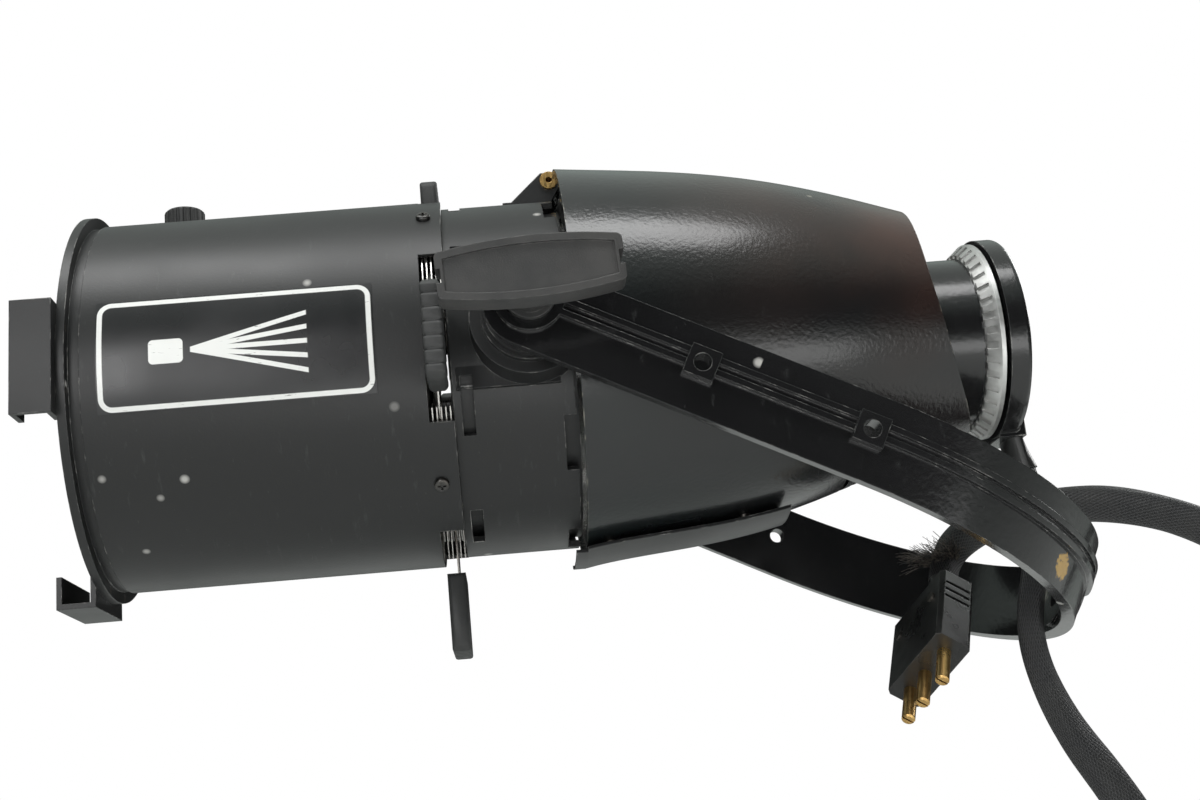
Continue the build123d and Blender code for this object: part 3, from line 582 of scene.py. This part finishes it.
brassy = yoke_paint.math("MAXIMUM", spot_mask(yoke_paint, (-0.0185, -0.060, 0.0235), 0.0100, 420),
                         spot_mask(yoke_paint, (-0.0270, -0.080, 0.0045), 0.0105, 420))
bright = spot_mask(yoke_paint, (0.001, 0.026, -0.004), 0.026, 110)
worn_colour = yoke_paint.blend(brassy, yoke_colour, (0.42, 0.25, 0.05, 1))
yoke_paint.colour(yoke_paint.blend(bright, worn_colour, (0.60, 0.56, 0.50, 1)))
yoke_paint.join(yoke_paint.math("MULTIPLY", bright, 0.8), yoke_paint.shader.inputs["Metallic"])
yoke_paint.set(Coat_Weight=0.3, Coat_Roughness=0.1)
dress(yoke_paint, "yoke")

# %% [markdown]
# ## Label
# The real barrel has a printed film with a white border. A plain border is kept, and the maker's words give
# way to a plain picture of a beam. The film follows the barrel, so its height is measured as an angle times
# the radius. The border is the outline of a rounded rectangle, found from distance rather than an image.

# %% Label finish
label_low, label_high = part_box("label_plate")
axis_z = 0.128725
barrel_radius = 0.0895
label = Finish("label_film")
split = label.nodes.new("ShaderNodeSeparateXYZ")
label.links.new(label.place, split.inputs[0])
along = label.math("SUBTRACT", split.outputs["X"], (label_low[0] + label_high[0]) / 2)
above_axis = label.math("SUBTRACT", split.outputs["Z"], axis_z)
turn = label.math("ARCTAN2", above_axis, label.math("MULTIPLY", split.outputs["Y"], -1))
rise = label.math("MULTIPLY", turn, barrel_radius)
half_long = (label_high[0] - label_low[0]) / 2
half_tall = barrel_radius * math.radians(16.5)
corner = 0.0062


def rounded_box(finish, across, up, half_across, half_up, radius):
    """Signed distance to a rounded rectangle: below zero inside."""
    side_gap = finish.math("ADD", finish.math("ABSOLUTE", across), radius - half_across)
    top_gap = finish.math("ADD", finish.math("ABSOLUTE", up), radius - half_up)
    square = finish.math("ADD", finish.math("POWER", finish.math("MAXIMUM", side_gap, 0.0), 2.0),
                         finish.math("POWER", finish.math("MAXIMUM", top_gap, 0.0), 2.0))
    inner = finish.math("MINIMUM", finish.math("MAXIMUM", side_gap, top_gap), 0.0)
    return finish.math("SUBTRACT", finish.math("ADD", finish.math("SQRT", square), inner), radius)


film_edge = rounded_box(label, along, rise, half_long - 0.0006, half_tall - 0.0006, corner)
border = label.math("MULTIPLY", label.ramp(film_edge, -0.0024, -0.0021), label.ramp(film_edge, 0.0001, -0.0001))
lantern = rounded_box(label, label.math("ADD", along, 0.030), rise, 0.0075, 0.0055, 0.002)
lantern_mark = label.ramp(lantern, 0.0001, -0.0001)
ray_start = label.math("ADD", along, 0.0195)
ray_span = label.math("MULTIPLY", label.ramp(ray_start, 0.0, 0.0004), label.ramp(ray_start, 0.0512, 0.0508))
rays = None
for slope in (-0.26, -0.13, 0.0, 0.13, 0.26):
    off_line = label.math("ABSOLUTE", label.math("SUBTRACT", rise, label.math("MULTIPLY", ray_start, slope)))
    ray = label.ramp(off_line, 0.0012, 0.0010)
    rays = ray if rays is None else label.math("MAXIMUM", rays, ray)
motif = label.math("MAXIMUM", lantern_mark, label.math("MULTIPLY", rays, ray_span))
printed = label.math("MAXIMUM", border, motif)
scratch = label.ramp(label.noise(16, 3, 0.6, label.stretch((9, 3, 60), (0.2, 0.5, 0.0))), 0.66, 0.70)
kept = label.math("MULTIPLY", printed, label.math("SUBTRACT", 1.0, label.math("MULTIPLY", scratch, 0.6)))
film = label.blend(label.ramp(label.noise(40), 0.3, 0.7), (0.008, 0.008, 0.009, 1), (0.014, 0.014, 0.015, 1))
label.colour(label.blend(kept, film, (0.78, 0.78, 0.76, 1)))
label.rough(label.ramp(label.noise(30), 0.3, 0.7, 0.24, 0.36))
label.relief(label.noise(700), 0.00002)
dress(label, "label_plate")

# %% [markdown]
# ## Moulded plastics
# The T-handles are a grey-brown moulding with a fine spark-eroded texture and greasy, smoother high spots.
# The shutter handles are darker and dusty. Both are a rough base with small bumps, and paler edges where
# hands have polished and chipped them.

# %% Plastic finishes


def moulded(name, dark, pale, low_rough, high_rough, grain, depth):
    plastic = Finish(name)
    patches = plastic.ramp(plastic.noise(45, 4, 0.6), 0.35, 0.7)
    body = plastic.blend(patches, dark, pale)
    rubbed = plastic.math("MULTIPLY", plastic.edge(0.0008), plastic.ramp(plastic.noise(200, 3), 0.4, 0.6))
    plastic.colour(plastic.blend(plastic.math("MULTIPLY", rubbed, 0.5), body, (0.16, 0.155, 0.15, 1)))
    plastic.rough(plastic.ramp(plastic.noise(60, 3), 0.3, 0.7, low_rough, high_rough))
    plastic.relief(plastic.noise(grain, 3), depth, 0.0007)
    return plastic


dress(moulded("t_handle_plastic", (0.026, 0.026, 0.026, 1), (0.045, 0.043, 0.042, 1), 0.40, 0.55, 1400, 0.00012),
      "t_handle_near", "t_handle_far")
dress(moulded("shutter_plastic", (0.020, 0.021, 0.021, 1), (0.036, 0.036, 0.036, 1), 0.50, 0.65, 1100, 0.0001),
      "shutter_top_handle", "shutter_near_handle", "shutter_bottom_handle", "shutter_far_handle", "focus_knob")
for grip in grips:
    grip.data.materials.append(bpy.data.materials["shutter_plastic"])
plug_finish = moulded("plug_plastic", (0.008, 0.008, 0.008, 1), (0.016, 0.016, 0.016, 1), 0.22, 0.42, 700, 0.00005)
dress(plug_finish, "plug_body", "strain_relief")

# %% [markdown]
# ## Bare metals
# Shutter blades and plates are rolled steel, blued and smoked by the lamp. Rolling leaves fine lines, which
# is noise drawn out along one axis. The collar is bare cast aluminium with dull oxide in its grooves. Pins
# are brass, with brown tarnish. All three share one recipe with different colours.

# %% Metal finishes


def bare_metal(name, bright_colour, dull_colour, low_rough, high_rough, line_scale, depth):
    metal = Finish(name)
    lines = metal.noise(30, 2, 0.6, metal.stretch(line_scale))
    stain = metal.ramp(metal.noise(35, 5, 0.62), 0.38, 0.66)
    metal.colour(metal.blend(stain, bright_colour, dull_colour))
    metal.rough(metal.math("ADD", metal.ramp(lines, 0.3, 0.7, low_rough, high_rough),
                           metal.math("MULTIPLY", stain, 0.12)))
    metal.relief(lines, depth, 0.0003)
    metal.set(Metallic=1.0)
    return metal


rolled_steel = bare_metal("rolled_steel", (0.56, 0.55, 0.53, 1), (0.30, 0.27, 0.24, 1),
                          0.20, 0.34, (2, 60, 60), 0.00002)
dress(rolled_steel, "shutter_top_blade", "shutter_near_blade", "shutter_bottom_blade", "shutter_far_blade",
      "gate_plate", "guide_plate", "shutter_spacers", "lens_rings", "focus_stud", "tube_spider", "lamp_base",
      "t_stud_near", "t_stud_far")
dress(bare_metal("cast_aluminium", (0.62, 0.62, 0.61, 1), (0.36, 0.36, 0.35, 1),
                 0.34, 0.48, (9, 9, 9), 0.00006),
      "finned_collar", "lens_carriage")
dress(bare_metal("polished_reflector", (0.82, 0.82, 0.82, 1), (0.70, 0.69, 0.67, 1),
                 0.10, 0.18, (20, 20, 20), 0.00001),
      "reflector")
dress(bare_metal("tarnished_brass", (0.78, 0.52, 0.20, 1), (0.40, 0.24, 0.09, 1),
                 0.20, 0.36, (40, 40, 6), 0.00002),
      "plug_pins", "hinge_rivet")
dress(bare_metal("blackened_screw", (0.07, 0.07, 0.07, 1), (0.16, 0.14, 0.12, 1),
                 0.28, 0.42, (14, 14, 14), 0.00003),
      "barrel_screws", "claw_rivets", "plate_posts", "plug_screws")

guides.data.materials.append(rolled_steel.material)
baffle.data.materials.append(satin_black.material)

# %% [markdown]
# ## Glass and ceramic
# The lenses and lamp envelope are clear glass, with a little dust that keeps them from looking like empty
# rings. The lamp socket is fired ceramic. Transmission gives real refraction through the lens solids.

# %% Glass and ceramic finishes
lens_glass = Finish("lens_glass")
dust = lens_glass.ramp(lens_glass.noise(50, 5, 0.7), 0.45, 0.75)
lens_glass.colour(lens_glass.blend(dust, (0.97, 0.99, 0.98, 1), (0.88, 0.90, 0.88, 1)))
lens_glass.rough(lens_glass.ramp(dust, 0.0, 1.0, 0.01, 0.09))
lens_glass.relief(lens_glass.noise(30), 0.00001)
lens_glass.set(Transmission_Weight=1.0, IOR=1.52)
dress(lens_glass, "lens_front", "lens_rear", "lamp")
ceramic = Finish("fired_ceramic")
stained = ceramic.ramp(ceramic.noise(60, 4), 0.4, 0.7)
ceramic.colour(ceramic.blend(stained, (0.70, 0.67, 0.60, 1), (0.46, 0.40, 0.33, 1)))
ceramic.rough(ceramic.ramp(ceramic.noise(90), 0.3, 0.7, 0.4, 0.6))
ceramic.relief(ceramic.noise(500), 0.00005, 0.0006)
dress(ceramic, "lamp_socket")

# %% [markdown]
# ## Woven sleeve
# The sleeve is braided glass yarn, varnished black. A braid is two sets of threads that cross at an angle, so
# two slanted waves over the sleeve's own map are taken, and at each place the higher one wins. The same
# height gives the bump and a paler crest to each thread.

# %% Sleeve finish
sleeve = Finish("braided_sleeve")
sleeve_place = sleeve.nodes.new("ShaderNodeUVMap")
sleeve_place.uv_map = "sleeve"
sleeve_axes = sleeve.nodes.new("ShaderNodeSeparateXYZ")
sleeve.links.new(sleeve_place.outputs[0], sleeve_axes.inputs[0])
around = sleeve.math("MULTIPLY", sleeve_axes.outputs["X"], 2 * math.pi * 34)
down = sleeve.math("MULTIPLY", sleeve_axes.outputs["Y"], 2 * math.pi * 260)
over = sleeve.math("SINE", sleeve.math("ADD", around, down))
under = sleeve.math("SINE", sleeve.math("SUBTRACT", around, down))
weave = sleeve.ramp(sleeve.math("MAXIMUM", over, under), -0.2, 1.0)
dusty = sleeve.ramp(sleeve.noise(70, 4, 0.65), 0.4, 0.7)
thread = sleeve.blend(weave, (0.004, 0.004, 0.005, 1), (0.030, 0.030, 0.032, 1))
sleeve.colour(sleeve.blend(sleeve.math("MULTIPLY", dusty, 0.35), thread, (0.045, 0.043, 0.04, 1)))
sleeve.rough(sleeve.ramp(weave, 0.0, 1.0, 0.62, 0.46))
sleeve.relief(weave, 0.00035)
lead_sleeve.data.materials.append(sleeve.material)
fray = Finish("frayed_yarn")
fray.colour(fray.blend(fray.ramp(fray.noise(260, 3), 0.4, 0.6), (0.02, 0.02, 0.02, 1), (0.14, 0.12, 0.10, 1)))
fray.rough(fray.ramp(fray.noise(90), 0.3, 0.7, 0.5, 0.7))
fray.relief(fray.noise(2500), 0.00004)
sleeve_fray.data.materials.append(fray.material)
paper = Finish("old_paper")
grime = paper.ramp(paper.noise(300, 4), 0.35, 0.7)
paper.colour(paper.blend(grime, (0.10, 0.10, 0.09, 1), (0.20, 0.19, 0.16, 1)))
paper.rough(paper.ramp(paper.noise(200), 0.3, 0.7, 0.7, 0.85))
paper.relief(paper.noise(1500), 0.00004)
paper_tag.data.materials.append(paper.material)
print("sleeve finish:", len(sleeve.nodes), "nodes")

# %% [markdown]
# ## Floor
# A plain pale floor stands well below the hanging lead. It catches light from above and sends some back up.

# %% Floor
floor_form = bmesh.new()
bmesh.ops.create_grid(floor_form, x_segments=8, y_segments=8, size=6.0)
floor_mesh = bpy.data.meshes.new("floor")
floor_form.to_mesh(floor_mesh)
floor_form.free()
floor = new_piece("floor", floor_mesh)
floor.location = (-0.2, 0.0, cad_box[0][2] - 0.02)
floor_finish = Finish("pale_floor")
floor_finish.colour(floor_finish.blend(floor_finish.noise(2), (0.78, 0.78, 0.78, 1), (0.82, 0.82, 0.81, 1)))
floor_finish.rough(0.8)
floor.data.materials.append(floor_finish.material)

# %% [markdown]
# ## Light
# Black paint is drawn by what it reflects. A pale surround gives the ground, and large soft panels give the
# long pale bands along the barrel: one overhead, one at the front, one behind and a faint one low down.

# %% Lights


def soft_panel(name, place, target, width, height, power):
    light = bpy.data.lights.new(name, "AREA")
    light.shape = "RECTANGLE"
    light.size = width
    light.size_y = height
    light.energy = power
    panel = bpy.data.objects.new(name, light)
    bpy.context.scene.collection.objects.link(panel)
    panel.location = place
    panel.rotation_euler = (Vector(target) - Vector(place)).to_track_quat("-Z", "Y").to_euler()


middle = (-0.2, 0.0, 0.1)
soft_panel("panel_overhead", (-0.35, -0.55, 1.5), middle, 1.8, 0.5, 20)
soft_panel("panel_front", (-0.9, -1.7, 0.35), middle, 0.5, 0.9, 9)
soft_panel("panel_rear", (1.3, 0.9, 0.9), middle, 0.8, 0.8, 12)
soft_panel("panel_low", (0.1, -0.9, -0.22), (-0.25, 0.0, 0.05), 1.2, 0.3, 3.0)

# %% [markdown]
# ### The surround
# Seen straight on, the surround is plain white, as a studio sweep is. What the paint mirrors is another
# matter: a real room is dim at eye level and brighter above and below, and that is what models the round
# barrel. The world therefore shows white to the camera and a soft gradient of height to everything else.

# %% Surround
world = bpy.data.worlds.new("surround")
world.use_nodes = True
air = world.node_tree
shown = air.nodes["Background"]
shown.inputs["Color"].default_value = (1.0, 1.0, 1.0, 1)
mirrored = air.nodes.new("ShaderNodeBackground")
facing = air.nodes.new("ShaderNodeTexCoord")
height_axis = air.nodes.new("ShaderNodeSeparateXYZ")
bands = air.nodes.new("ShaderNodeValToRGB")
lift = air.nodes.new("ShaderNodeMapRange")
lift.inputs["From Min"].default_value = -1.0
air.links.new(facing.outputs["Generated"], height_axis.inputs[0])
air.links.new(height_axis.outputs["Z"], lift.inputs["Value"])
air.links.new(lift.outputs[0], bands.inputs[0])
bands.color_ramp.elements[0].color = (0.30, 0.27, 0.28, 1)
bands.color_ramp.elements[-1].color = (0.60, 0.64, 0.61, 1)
for spot, tone in ((0.45, (0.10, 0.09, 0.095, 1)), (0.53, (0.015, 0.015, 0.015, 1)),
                   (0.68, (0.035, 0.037, 0.035, 1)), (0.82, (0.42, 0.48, 0.45, 1))):
    bands.color_ramp.elements.new(spot).color = tone
air.links.new(bands.outputs[0], mirrored.inputs["Color"])
path_kind = air.nodes.new("ShaderNodeLightPath")
either = air.nodes.new("ShaderNodeMixShader")
air.links.new(path_kind.outputs["Is Camera Ray"], either.inputs[0])
air.links.new(mirrored.outputs[0], either.inputs[1])
air.links.new(shown.outputs[0], either.inputs[2])
air.links.new(either.outputs[0], air.nodes["World Output"].inputs["Surface"])
bpy.context.scene.world = world
bpy.context.scene.view_settings.view_transform = "Standard"
